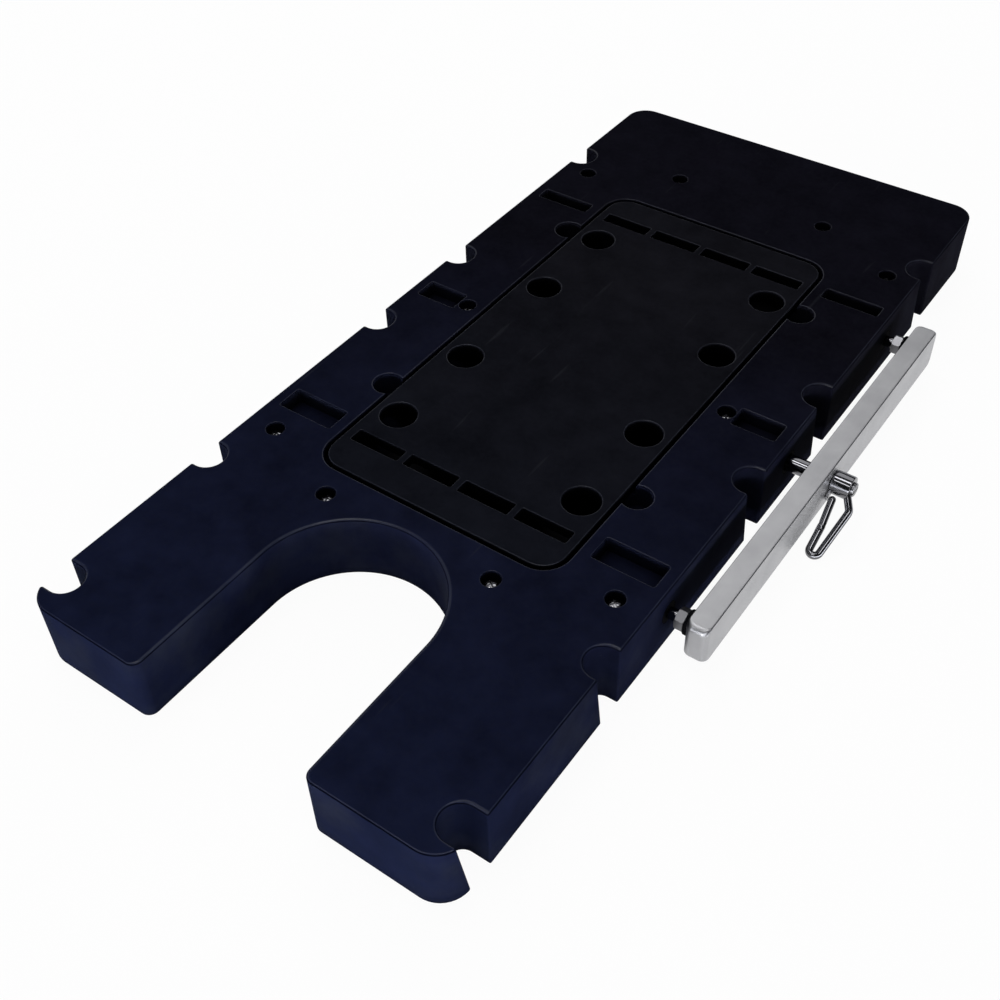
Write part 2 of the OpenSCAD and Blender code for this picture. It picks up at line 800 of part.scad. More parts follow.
module gate_rivet() {
    color([0.75, 0.75, 0.77])
        at_gate() rotate([90, 0, 0]) cylinder(d = rivet_d, h = gate_d, center = true);
}

module gate_spring() {
    color([0.6, 0.6, 0.62])
        at_gate()
            translate([0, 0, tongue_l / 2 + face_gap])
                difference() {
                    cylinder(d = spring_d, h = spring_l);
                    translate([0, 0, -over]) cylinder(d = spring_d / 2, h = spring_l + 2 * over);
                }
}

top_shell();
base_cover();
centre_plate();
deck_screws();
thread_inserts();
rail_bar();
front_stud();
back_stud();
front_lock_nut();
back_lock_nut();
front_rail_washer();
back_rail_washer();
front_wall_bush();
back_wall_bush();
pin_wall_bush();
front_anchor_washer();
back_anchor_washer();
front_anchor_nut();
back_anchor_nut();
lock_pin();
link_end_screw();
snap_link();
gate();
gate_rivet();
gate_spring();
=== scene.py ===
import math
import bmesh
import bpy
from mathutils import Matrix, Vector


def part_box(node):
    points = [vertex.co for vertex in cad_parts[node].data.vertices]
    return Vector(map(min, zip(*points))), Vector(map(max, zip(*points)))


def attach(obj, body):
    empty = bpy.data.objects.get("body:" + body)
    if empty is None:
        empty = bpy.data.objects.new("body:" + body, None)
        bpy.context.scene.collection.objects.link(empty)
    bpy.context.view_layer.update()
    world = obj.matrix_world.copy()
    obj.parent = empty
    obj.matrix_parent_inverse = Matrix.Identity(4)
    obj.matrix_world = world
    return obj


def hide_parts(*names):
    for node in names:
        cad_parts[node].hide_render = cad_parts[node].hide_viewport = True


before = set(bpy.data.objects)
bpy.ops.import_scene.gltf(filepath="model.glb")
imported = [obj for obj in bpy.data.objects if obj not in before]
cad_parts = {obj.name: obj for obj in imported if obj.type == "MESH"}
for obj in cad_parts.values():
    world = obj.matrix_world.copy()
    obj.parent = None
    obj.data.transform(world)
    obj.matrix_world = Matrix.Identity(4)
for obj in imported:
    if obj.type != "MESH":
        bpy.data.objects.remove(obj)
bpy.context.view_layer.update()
mm = 0.001  # the pieces are drawn in millimetres, the stage in metres
past = 1  # how far a cutter runs past a face

# Mesh helpers

meshing = {"circle": 48, "weld": 1.2e-5, "flat": 0.02, "lipOver": 0.012}  # points, metres, degrees, mm


def boxOf(node):
    low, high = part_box(node)
    return Vector(low) / mm, Vector(high) / mm


def arc(centre, radius, start, end, steps, wide=0, high=0):  # wide and high stretch it along x and y
    points = []
    for i in range(steps + 1):
        angle = math.radians(start + (end - start) * i / steps)
        x = centre[0] + (radius + wide) * math.cos(angle)
        points.append((x, centre[1] + (radius + high) * math.sin(angle)))
    return points


def circle(centre, radius):
    step = 360 / meshing["circle"]
    return arc(centre, radius, 0, 360 - step, meshing["circle"] - 1)


def heading(start, end):
    return math.degrees(math.atan2(end[1] - start[1], end[0] - start[0]))


def newObject(name, data):
    made = bpy.data.objects.new(name, data)
    bpy.context.scene.collection.objects.link(made)
    return made


def meshObject(name, bm):
    bmesh.ops.recalc_face_normals(bm, faces=bm.faces)
    mesh = bpy.data.meshes.new(name)
    bm.to_mesh(mesh)
    bm.free()
    return newObject(name, mesh)


def skin(name, rings, closed=False):  # walls from ring to ring, and caps on both ends unless it is closed
    bm = bmesh.new()
    made = [[bm.verts.new(Vector(point) * mm) for point in ring] for ring in rings]
    pairs = list(zip(made, made[1:]))
    if closed:
        pairs.append((made[-1], made[0]))
    else:
        bm.faces.new(made[0])
        bm.faces.new(made[-1])
    for low, high in pairs:
        for i in range(len(low)):
            bm.faces.new((low[i - 1], low[i], high[i], high[i - 1]))
    bmesh.ops.remove_doubles(bm, verts=bm.verts, dist=meshing["weld"])
    bmesh.ops.connect_verts_nonplanar(bm, angle_limit=math.radians(meshing["flat"]), faces=bm.faces)
    return meshObject(name, bm)


def loft(name, layers, place=Matrix()):
    return skin(name, [[place @ Vector((x, y, z)) for x, y in points] for points, z in layers])


def revolve(name, profile, place=Matrix(), steps=meshing["circle"], closed=False):
    turns = [2 * math.pi * i / steps for i in range(steps)]
    rings = []
    for radius, z in profile:
        rings.append([place @ Vector((radius * math.cos(t), radius * math.sin(t), z)) for t in turns])
    return skin(name, rings, closed)


def cylinder(radius, start, end, place):
    return revolve("tool", [(0, start), (radius, start), (radius, end), (0, end)], place)


def sweep(name, path, radius, place, steps=28):
    rings = []
    for i, point in enumerate(path):
        ahead = (path[min(i + 1, len(path) - 1)] - path[max(i - 1, 0)]).normalized()
        side = Vector((0, 1, 0))
        across = ahead.cross(side)
        ring = []
        for k in range(steps):
            angle = 2 * math.pi * k / steps
            ring.append(place @ (point + radius * (math.cos(angle) * across + math.sin(angle) * side)))
        rings.append(ring)
    return skin(name, rings)


def block(name, low, high, place=Matrix()):
    corners = [(low[0], low[1]), (high[0], low[1]), (high[0], high[1]), (low[0], high[1])]
    return loft(name, [(corners, low[2]), (corners, high[2])], place)


def merge(name, pieces, copies=(Matrix(),)):
    bm = bmesh.new()
    for piece in pieces:
        for move in copies:
            mesh = piece.data.copy()
            mesh.transform(Matrix.Translation(move.translation * mm) @ move.to_3x3().to_4x4())
            bm.from_mesh(mesh)
            bpy.data.meshes.remove(mesh)
        bpy.data.objects.remove(piece)
    return meshObject(name, bm)


def carve(piece, tools, operation="DIFFERENCE"):
    for tool in tools:
        change = piece.modifiers.new("carve", "BOOLEAN")
        change.operation = operation
        change.solver = "EXACT"
        change.object = tool
        graph = bpy.context.evaluated_depsgraph_get()
        result = bpy.data.meshes.new_from_object(piece.evaluated_get(graph))
        piece.modifiers.clear()
        piece.data = result
        bpy.data.objects.remove(tool)
    return piece


def roundEdge(radius, steps=6):  # inset and drop from a rounded edge's foot to its top
    turns = [math.radians(90 * i / steps) for i in range(steps + 1)]
    return [(radius * (1 - math.cos(t)), radius * (math.sin(t) - 1)) for t in turns]


def dome(radius, base, rise, start=0):  # a profile from the side up to the axis
    turns = [math.radians(t) for t in range(start, 91, 10)]
    return [(radius * math.cos(t), base + rise * math.sin(t)) for t in turns]


def roundedRect(halfX, halfY, radius, inset=0, centre=(0, 0), steps=8):
    radius = max(radius - inset, 0.001)
    x = halfX - inset - radius
    y = halfY - inset - radius
    points = []
    for turn, cx, cy in ((0, x, y), (90, -x, y), (180, -x, -y), (270, x, -y)):
        points += arc((centre[0] + cx, centre[1] + cy), radius, turn, turn + 90, steps)
    return points


def alongX(x=0, y=0, z=0):
    return Matrix.Translation((x, y, z)) @ Matrix.Rotation(math.radians(90), 4, "Y")


def dress(piece, material, body, nodes, sharp=35):
    piece.data.materials.clear()
    piece.data.materials.append(material)
    for face in piece.data.polygons:
        face.use_smooth = True
    piece.data.set_sharp_from_angle(angle=math.radians(sharp))
    even = piece.modifiers.new("even_normals", "WEIGHTED_NORMAL")
    even.keep_sharp = True
    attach(piece, body)
    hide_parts(*nodes)


# Materials


class Wire:
    def __init__(self, tree, socket=None):
        self.tree = tree
        self.socket = socket

    def node(self, kind, settings=None, sockets=None, out=0):
        made = self.tree.nodes.new("ShaderNode" + kind)
        for name, value in (settings or {}).items():
            setattr(made, name, value)
        for name, value in (sockets or {}).items():
            if isinstance(value, Wire):
                self.tree.links.new(value.socket, made.inputs[name])
            else:
                made.inputs[name].default_value = value
        return Wire(self.tree, made.outputs[out] if made.outputs else None)

    def math(self, operation, first, second):
        return self.node("Math", {"operation": operation}, {0: first, 1: second})

    def __add__(self, other):
        return self.math("ADD", self, other)

    __radd__ = __add__

    def __sub__(self, other):
        return self.math("SUBTRACT", self, other)

    def __rsub__(self, other):
        return self.math("SUBTRACT", other, self)

    def __mul__(self, other):
        return self.math("MULTIPLY", self, other)

    __rmul__ = __mul__

    def clamp(self, low, high):  # 0 up to low, and 1 from high on
        limits = {"Value": self, "From Min": low, "From Max": high}
        return self.node("MapRange", {"clamp": True}, limits)

    def mix(self, first, second):  # two colours, by this value
        sides = [(*side, 1) if isinstance(side, tuple) else side for side in (first, second)]
        return self.node("Mix", {"data_type": "RGBA"}, {0: self, 6: sides[0], 7: sides[1]}, 2)

    def noise(self, scale, detail=3, stretch=(1, 1, 1), rough=0.5):
        place = self.node("TexCoord", out="Object")
        place = self.node("VectorMath", {"operation": "MULTIPLY"}, {0: place, 1: stretch})
        grain = {"Vector": place, "Scale": scale, "Detail": detail, "Roughness": rough}
        return self.node("TexNoise", {}, grain)

    def coordinate(self, kind, axis):  # one part of a place or of a surface's direction
        return self.node("SeparateXYZ", {}, {0: self.node("TexCoord", out=kind)}, axis)


def shaderTree(owner):
    owner.use_nodes = True
    owner.node_tree.nodes.clear()
    return Wire(owner.node_tree)


def material(name, paint):
    made = bpy.data.materials.new(name)
    wire = shaderTree(made)
    surface = wire.node("BsdfPrincipled", {}, paint(wire))
    wire.node("OutputMaterial", {}, {"Surface": surface})
    return made


def bump(wire, height, strength, distance):
    return wire.node("Bump", {}, {"Height": height, "Strength": strength, "Distance": distance})


wearAndPaintedLight = {  # colours for wear (speck, scratch, scuff) and for painted light (rim highlight, turn and wall shade, hollow shade) over the moulded plastic
    "speck": (0.016, 0.018, 0.023), "scratch": (0.03, 0.032, 0.038), "scuff": (0.024, 0.027, 0.036),
    "rim": (0.034, 0.038, 0.054), "turn": (0.0005, 0.0005, 0.0008), "wall": (0.0004, 0.0004, 0.0008),
    "paintedHollowShade": (0.0008, 0.0008, 0.0018),
}


def plastic(front, back, gloss, grain, shade=0.0):  # shade darkens upright walls
    def paint(wire):
        fine = wire.noise(900, 4)
        broad = wire.noise(14, 3)
        mottle = wire.noise(42, 4, rough=0.6)
        speck = wire.noise(260, 3)
        scuff = wire.noise(24, 5, rough=0.62)
        scratch = wire.noise(150, 2, (1, 0.07, 1))
        up = wire.coordinate("Normal", "Z")
        run = wire.coordinate("Object", "Y").clamp(-0.36, 0.1)  # painted light: the colour runs from bluer at the front to greyer at the back, as the light falls on the board
        tone = broad.clamp(0.3, 0.7) * 0.3 + mottle.clamp(0.3, 0.7) * 0.45 + 0.63
        colour = run.mix(front, back)
        colour = wire.node("VectorMath", {"operation": "SCALE"}, {0: colour, "Scale": tone})
        colour = (speck.clamp(0.35, 0.7) * 0.1).mix(colour, wearAndPaintedLight["speck"])
        colour = (scratch.clamp(0.7, 0.76) * 0.2).mix(colour, wearAndPaintedLight["scratch"])
        flank = 1 - up.clamp(0.1, 0.4)
        rubbed = flank * scuff.clamp(0.46, 0.68) * (0.38 - run * 0.25)
        colour = rubbed.mix(colour, wearAndPaintedLight["scuff"])
        rim = up.clamp(0.8, 0.88) * (1 - up.clamp(0.965, 0.99))  # the deck side of a rounded edge
        turn = up.clamp(0.2, 0.45) * (1 - up.clamp(0.72, 0.85))  # the middle of a rounded edge
        # painted highlight: a lighter line on the deck side of rounded edges
        colour = (rim * (scuff.clamp(0.3, 0.7) * 0.4 + 0.05)).mix(colour, wearAndPaintedLight["rim"])
        # painted shade: a dark line along the middle of rounded edges, fainter towards the back
        colour = (turn * (0.85 - run * 0.5)).mix(colour, wearAndPaintedLight["turn"])
        # painted shade on upright walls
        if shade:
            colour = (flank * shade).mix(colour, wearAndPaintedLight["wall"])
        exposed = wire.node("AmbientOcclusion", {"samples": 8}, {"Distance": 0.014}, "AO")
        colour = exposed.clamp(0.2, 0.8).mix(wearAndPaintedLight["paintedHollowShade"], colour)  # painted shade: darker where other surfaces lie within 14 mm, in holes, grooves and corners
        return {
            "Base Color": colour,
            "Roughness": broad * 0.12 + fine * 0.1 + gloss,
            "Specular IOR Level": 0.0003,
            "Coat Weight": rim * 0.28,
            "Coat Roughness": 0.26,
            "Normal": bump(wire, fine, grain, 0.0003),
        }
    return paint


def metal(colour, tint, gloss, scratch, stretch=(1, 1, 1), strength=0.06, paintedEdgeShade=0.0):
    def paint(wire):
        fine = wire.noise(scratch, 4, stretch)
        smudge = wire.noise(45, 3)
        finish = smudge.clamp(0.35, 0.75).mix(colour, tint)
        if paintedEdgeShade:  # painted shade: a dark line along the middle of the upper long rounded edges
            up = wire.coordinate("Normal", "Z")
            across = wire.coordinate("Normal", "X")
            edgeBand = up.clamp(0.2, 0.4) * (1 - up.clamp(0.8, 0.95)) * (across * across).clamp(0.05, 0.3)
            finish = (edgeBand * paintedEdgeShade).mix(finish, (0.02, 0.02, 0.022))
        return {
            "Base Color": finish,
            "Metallic": 1.0,
            "Roughness": smudge * 0.06 + fine * 0.08 + gloss,
            "Normal": bump(wire, fine, strength, 0.0001),
        }
    return paint


def rubber(colour, dust):
    def paint(wire):
        fine = wire.noise(1200, 4)
        broad = wire.noise(120, 3)
        return {
            "Base Color": broad.clamp(0.3, 0.8).mix(colour, dust),
            "Roughness": broad * 0.2 + 0.45,
            "Specular IOR Level": 0.001,
            "Normal": bump(wire, fine, 0.2, 0.0002),
        }
    return paint


# front and back colours carry painted light: bluer where the front light falls, greyer towards the back
shellLook = material("shell_plastic", plastic(
    (0.0068, 0.0092, 0.0258), (0.0042, 0.0040, 0.0070), gloss=0.34, grain=0.12))
plateLook = material("plate_plastic", plastic(
    (0.0056, 0.0066, 0.0106), (0.0062, 0.0062, 0.0084), gloss=0.4, grain=0.2, shade=0.9))
coverLook = material("cover_plastic", plastic(
    (0.008, 0.008, 0.01), (0.008, 0.008, 0.01), gloss=0.5, grain=0.25))
railLook = material("rail_aluminium", metal(
    (0.4, 0.4, 0.412), (0.35, 0.35, 0.363), 0.36, 900, stretch=(1, 0.03, 1), paintedEdgeShade=0.8))
chromeLook = material("chrome", metal((0.16, 0.16, 0.17), (0.13, 0.13, 0.14), 0.03, 500, strength=0.01))
nutLook = material("nut_steel", metal((0.2, 0.2, 0.21), (0.15, 0.15, 0.16), 0.26, 700))
screwLook = material("screw_steel", metal((0.36, 0.36, 0.38), (0.28, 0.28, 0.3), 0.1, 700))
brassLook = material("insert_brass", metal((0.7, 0.52, 0.22), (0.6, 0.42, 0.16), 0.25, 700))
bushLook = material("black_bush", rubber((0.002, 0.002, 0.003), (0.005, 0.005, 0.006)))
washerLook = material("black_washer", rubber((0.003, 0.003, 0.004), (0.008, 0.008, 0.009)))
print("materials ready")

# Shell: the moulded board

shellLow, shellHigh = boxOf("top_shell")
plateHigh = boxOf("centre_plate")[1]
deckTop = shellHigh.z
board = {
    "side": shellHigh.x, "front": shellLow.y, "back": shellHigh.y, "wall": 4, "deck": 6,
    "topRound": 1.6, "bottomRound": 1.4, "soften": 1.2,
    "frontCorner": 20, "backCorner": 18, "armCorner": 7, "cutRadius": 64, "cutEnd": -214,
    "notch": 12.3, "notchIn": 3.5, "notchesAt": (-231.5, -51, 51, 231.5),
    "tipNotchIn": 9.2, "tipNotchOff": 25.5, "frontLip": 1.6, "backLip": 1.2, "draft": 7,
    "groove": 2.6, "grooveLip": 1.5, "seat": 4.5, "plateThick": 8, "wellCorner": 17, "frameFoot": 5.3,
    "fingerAt": ((102.5, -106), (102.5, 128)), "finger": 10.5, "fingerFloor": 32, "fingerLip": 1.6,
    "pockets": ((45, 19.6, -156.5), (33, 18, 0), (45, 12, 163)), "pocketOut": 151, "pocketFloor": 38.5,
    "pocketLip": 1, "pocketCorner": 1.5, "pocketWall": 3, "pocketWallCorner": 1,
    "screwsAt": ((65.97, -216.05), (136.5, -187), (110.5, 0), (136.5, 210), (66, 244.7)),
    "recess": 6.5, "recessFloor": 38, "recessLip": 0.7, "columnFoot": 33,
    "shank": 3.2, "shankFrom": 30, "shankTo": 39,
    "studsAt": 161.5, "axis": 28.5,
    "bossFrom": 146, "bossTo": 165, "bossHalf": 11, "bossFoot": 17.5,
    "ribsAt": (-336.5, -307.25, -278, 265.7, 308.5), "ribHalf": 1.5, "ribReach": 170, "ribFoot": 30,
}
sideHoles = {  # start, end and radius at each stud, then at the pin
    "bush": ((150, 161, 8.02), (150, 161, 9.02)),
    "tail": ((140, 151, 3.2), (133, 151, 6.3)),
    "anchor": ((136, 146, 6.3), None),
}
axis = board["axis"]
studsAt = board["studsAt"]
wall = board["wall"]


def boardHalf(inset, z, soft=0):  # soft widens the rounding of the cut-out and of the notches' back edges
    side = board["side"] - inset
    front = board["front"]
    lean = board["draft"] / 2 * (1 - z / deckTop)  # a notch's front flank slopes, its back flank is upright
    reach = board["notch"] + inset - lean
    frontLip = max(board["frontLip"] - inset, 0.001)
    backLip = max(board["backLip"] - inset, 0.001)
    cutRadius = board["cutRadius"]
    armCorner = board["armCorner"]
    points = arc((0, board["cutEnd"] - cutRadius), cutRadius + inset + soft, 90, 0, 28)
    points += arc((cutRadius + armCorner, front + armCorner), armCorner - inset, 180, 270, 8, -soft)
    corner = (board["side"] - board["frontCorner"], front + board["frontCorner"])
    inner = board["frontCorner"] - inset - frontLip
    ends = [(board["tipNotchIn"], front + board["tipNotchOff"])]
    ends += [(board["notchIn"], y) for y in board["notchesAt"]]
    for i, (depth, y) in enumerate(ends):
        centre = (board["side"] - depth - lean, y + lean)
        low = (side - frontLip, centre[1] - reach - frontLip)
        turn = 0
        if i == 0:  # the first notch starts on the rounded front corner
            low = (corner[0] + math.sqrt(inner ** 2 - (low[1] - corner[1]) ** 2), low[1])
            turn = heading(corner, low)
            points += arc(corner, inner + frontLip, -90, turn, 10)
        points += arc(low, frontLip, turn, 90, 8)
        points += arc(centre, reach, 270, 180, 14)
        points += arc(centre, reach, 180, 90, 14, high=soft)[1:]
        points += arc((side - backLip, centre[1] + reach + soft + backLip), backLip, 270, 360, 6)
    radius = board["backCorner"]
    return points + arc((board["side"] - radius, board["back"] - radius), radius - inset, 0, 90, 10)


def boardLayer(inset, z, soft=0):
    half = boardHalf(inset, z, soft)
    return half + [(-x, y) for x, y in reversed(half[1:])], z


def pillar(points, foot):  # stays in the hollow, up to the deck
    return loft("kept", [(points, foot), (points, deckTop)])


def mouth(shape, floor, lip):  # a cutter that widens into a rounded lip at the deck
    layers = [(shape(0), floor)]
    for out, drop in roundEdge(lip):
        layers.append((shape(out), deckTop + drop + meshing["lipOver"]))
    return loft("tool", layers + [(shape(lip), deckTop + past)])


def roundMouth(centre, radius, floor, lip):
    def shape(out):
        return circle(centre, radius + out)
    return mouth(shape, floor, lip)


def rectMouth(halfX, halfY, corner, centre, floor, lip):
    def shape(out):
        return roundedRect(halfX, halfY, corner, -out, centre)
    return mouth(shape, floor, lip)


def rod(start, end, radius, y):
    return cylinder(radius, start, end, alongX(0, y, axis))


def bothSides(places):
    return [(side * x, y) for x, y in places for side in (-1, 1)]


foot = [boardLayer(inset, -drop) for inset, drop in reversed(roundEdge(board["bottomRound"], 4))]
edge = []
for inset, drop in roundEdge(board["topRound"], 8):
    edge.append(boardLayer(inset, deckTop + drop, inset * board["soften"]))
shell = loft("shell", foot + edge)
seatZ = deckTop - board["plateThick"]
openX = plateHigh.x + board["groove"]
openY = plateHigh.y + board["groove"]
openCorner = board["wellCorner"] + board["groove"]
wellX = plateHigh.x - board["seat"]
wellY = plateHigh.y - board["seat"]
well = roundedRect(wellX, wellY, board["wellCorner"] - board["seat"])
screwsAt = bothSides(board["screwsAt"])
fingersAt = bothSides(board["fingerAt"])
pocketsAt = []
for length, width, y in board["pockets"]:
    for side in (-1, 1):
        pocketsAt.append((length / 2, width / 2, (side * (board["pocketOut"] - length / 2), y)))

inside = boardLayer(wall, deckTop)[0]
cavity = loft("cavity", [(inside, -past), (inside, deckTop - board["deck"])])
kept = [pillar(roundedRect(openX + wall, openY + wall, openCorner + wall), board["frameFoot"])]
columns = [circle(place, board["recess"] + wall) for place in screwsAt]
kept.append(merge("kept", [pillar(ring, board["columnFoot"]) for ring in columns]))
cups = [circle(place, board["finger"] + wall) for place in fingersAt]
kept.append(merge("kept", [pillar(ring, board["fingerFloor"] - wall) for ring in cups]))
thick = board["pocketWall"]
boxes = [roundedRect(x + thick, y + thick, board["pocketWallCorner"], 0, place) for x, y, place in pocketsAt]
kept.append(merge("kept", [pillar(ring, board["pocketFloor"] - thick) for ring in boxes]))
bosses = []
for y in (-studsAt, 0, studsAt):
    low = (board["bossFrom"], y - board["bossHalf"], board["bossFoot"])
    bosses.append(block("kept", low, (board["bossTo"], y + board["bossHalf"], deckTop)))
kept.append(merge("kept", bosses))
ribs = []
for y in board["ribsAt"]:
    low = (-board["ribReach"], y - board["ribHalf"], board["ribFoot"])
    ribs.append(block("kept", low, (board["ribReach"], y + board["ribHalf"], deckTop)))
kept.append(merge("kept", ribs))
carve(cavity, kept)
carve(shell, [cavity, loft("tool", [(well, -past), (well, seatZ + past)])])
carve(shell, [rectMouth(openX, openY, openCorner, (0, 0), seatZ, board["grooveLip"])])

fingers = []
for place in fingersAt:
    fingers.append(roundMouth(place, board["finger"], board["fingerFloor"], board["fingerLip"]))
carve(shell, [merge("tool", fingers)])
pockets = []
for x, y, place in pocketsAt:
    pockets.append(rectMouth(x, y, board["pocketCorner"], place, board["pocketFloor"], board["pocketLip"]))
carve(shell, [merge("tool", pockets)])
recesses = []
for place in screwsAt:
    recesses.append(roundMouth(place, board["recess"], board["recessFloor"], board["recessLip"]))
carve(shell, [merge("tool", recesses)])
shanks = []
for place in screwsAt:
    ring = circle(place, board["shank"])
    shanks.append(loft("tool", [(ring, board["shankFrom"]), (ring, board["shankTo"])]))
carve(shell, [merge("tool", shanks)])
for atStud, atPin in sideHoles.values():
    ways = [rod(*atStud, -studsAt)]
    if atPin:
        ways.append(rod(*atPin, 0))
    ways.append(rod(*atStud, studsAt))
    carve(shell, [merge("tool", ways)])
dress(shell, shellLook, "board", ["top_shell"])
print("shell ready", len(shell.data.polygons))

# Centre plate

plateShape = {
    "corner": 17, "round": 1.2, "footRound": 0.4, "cutFloor": 20,
    "hole": 13, "holesAt": ((75, 50.9), (75, 128.7)), "holeLip": 1.1,
    "slot": (19.75, 5.5), "slotCorner": 1.2, "slotLip": 0.7,
    "slotPitch": 44.8, "slotSteps": (-1.5, -0.5, 0.5, 1.5), "slotsAt": (-160.5, 160.5),
    "ribsAcross": (-89.8, 0, 89.8), "ribsAlong": (-37.5, 37.5), "ribAcross": 86.9, "ribAlong": 128.7,
    "ribHalf": 1.5, "ribFoot": 32, "ribIn": 3,
}


def plateLayer(inset, z):
    return roundedRect(plateHigh.x, plateHigh.y, plateShape["corner"], inset), z


layers = [plateLayer(inset, seatZ - drop) for inset, drop in reversed(roundEdge(plateShape["footRound"], 2))]
layers += [plateLayer(inset, deckTop + drop) for inset, drop in roundEdge(plateShape["round"])]
plate = loft("plate", layers)
half = plateShape["ribHalf"]
low = plateShape["ribFoot"]
high = seatZ + plateShape["ribIn"]
reach = plateShape["ribAcross"]
ribs = [block("rib", (-reach, y - half, low), (reach, y + half, high)) for y in plateShape["ribsAcross"]]
carve(plate, [merge("ribs", ribs)], "UNION")
reach = plateShape["ribAlong"]
ribs = [block("rib", (x - half, -reach, low), (x + half, reach, high)) for x in plateShape["ribsAlong"]]
carve(plate, [merge("ribs", ribs)], "UNION")
cutFloor = plateShape["cutFloor"]
holes = []
for x, y in bothSides(plateShape["holesAt"]):
    for side in (-1, 1):
        holes.append(roundMouth((x, side * y), plateShape["hole"], cutFloor, plateShape["holeLip"]))
slots = []
slotLip = plateShape["slotLip"]
for step in plateShape["slotSteps"]:
    for y in plateShape["slotsAt"]:
        place = (step * plateShape["slotPitch"], y)
        slots.append(rectMouth(*plateShape["slot"], plateShape["slotCorner"], place, cutFloor, slotLip))
carve(plate, [merge("tool", holes), merge("tool", slots)])
dress(plate, plateLook, "plate", ["centre_plate"])
print("plate ready", len(plate.data.polygons))

# Deck screws

screw = {
    "foot": boxOf("deck_screws")[0].z, "tip": 2.4, "tipBevel": 0.7, "shank": 3, "head": 5.75,
    "seat": 38, "side": 42.6, "top": 45.4, "crossReach": 3.4, "crossHalf": 0.7, "crossDeep": 2,
    "firstTurn": 20, "nextTurn": 37,
}
profile = [(0, screw["foot"]), (screw["tip"], screw["foot"])]
profile += [(screw["shank"], screw["foot"] + screw["tipBevel"]), (screw["shank"], screw["seat"])]
profile += [(screw["head"], screw["seat"]), (screw["head"], screw["side"])]
profile += dome(screw["head"], screw["side"], screw["top"] - screw["side"], 10)
oneScrew = revolve("screw", profile)
reach = screw["crossReach"]
half = screw["crossHalf"]
low = screw["top"] - screw["crossDeep"]
high = screw["top"] + past
carve(oneScrew, [block("tool", (-reach, -half, low), (reach, half, high)),
                 block("tool", (-half, -reach, low), (half, reach, high))])
turned = []
for i, (x, y) in enumerate(screwsAt):
    angle = math.radians(screw["nextTurn"] * i + screw["firstTurn"])
    turned.append(Matrix.Translation((x, y, 0)) @ Matrix.Rotation(angle, 4, "Z"))
screws = merge("deck_screw_set", [oneScrew], turned)
dress(screws, screwLook, "board", ["deck_screws"], 30)
print("screws ready", len(turned))

# Side rail

railLow, railHigh = boxOf("rail_bar")
railShape = {
    "corner": 5, "endEdge": 4.5, "longEdge": 0.9, "steps": (0, 0.1, 0.3, 0.6, 0.9, 1.5, 2.3, 3.3, 4.5),
    "pinHole": 6.05, "studHole": 4.02, "studDeep": 10.3,
}
acrossRail = Matrix(((0, 0, 1, 0), (1, 0, 0, 0), (0, 1, 0, axis), (0, 0, 0, 1)))


def edgeInset(radius, depth):
    return radius - math.sqrt(radius ** 2 - max(radius - depth, 0) ** 2)


def railRing(depth):  # the bar's outline at a depth below its inner or outer face
    longInset = edgeInset(railShape["longEdge"], depth)
    halfY = railHigh.y - max(edgeInset(railShape["endEdge"], depth), longInset)
    halfZ = (railHigh.z - railLow.z) / 2 - longInset
    return roundedRect(halfY, halfZ, railShape["corner"] - longInset, steps=12)


layers = [(railRing(depth), railLow.x + depth) for depth in railShape["steps"]]
layers += [(railRing(depth), railHigh.x - depth) for depth in reversed(railShape["steps"])]
rail = loft("rail", layers, acrossRail)
carve(rail, [rod(railLow.x - past, railHigh.x + past, railShape["pinHole"], 0)])
grips = []
for y in (-studsAt, studsAt):
    grips.append(rod(railLow.x - past, railLow.x + railShape["studDeep"], railShape["studHole"], y))
carve(rail, [merge("tool", grips)])
dress(rail, railLook, "board", ["rail_bar"])
print("rail ready", len(rail.data.polygons))

# Studs, nuts, washers and bushes

stud = {"tailTip": 2.5, "tail": 3, "shoulder": 160, "shoulderEdge": 3.7, "shoulderBevel": 0.4, "body": 4,
        "bodyTip": 3.5, "bevel": 0.6}
nut = {"corner": 7.5, "hole": 4.02, "face": 6.35, "cone": 7.6, "coneDeep": 0.7, "over": 0.01}
washer = {"hole": 4.2, "bevel": 0.6}
bush = {"studHole": 3.05, "pinHole": 6.05, "rim": 0.5, "mouth": 0.6}

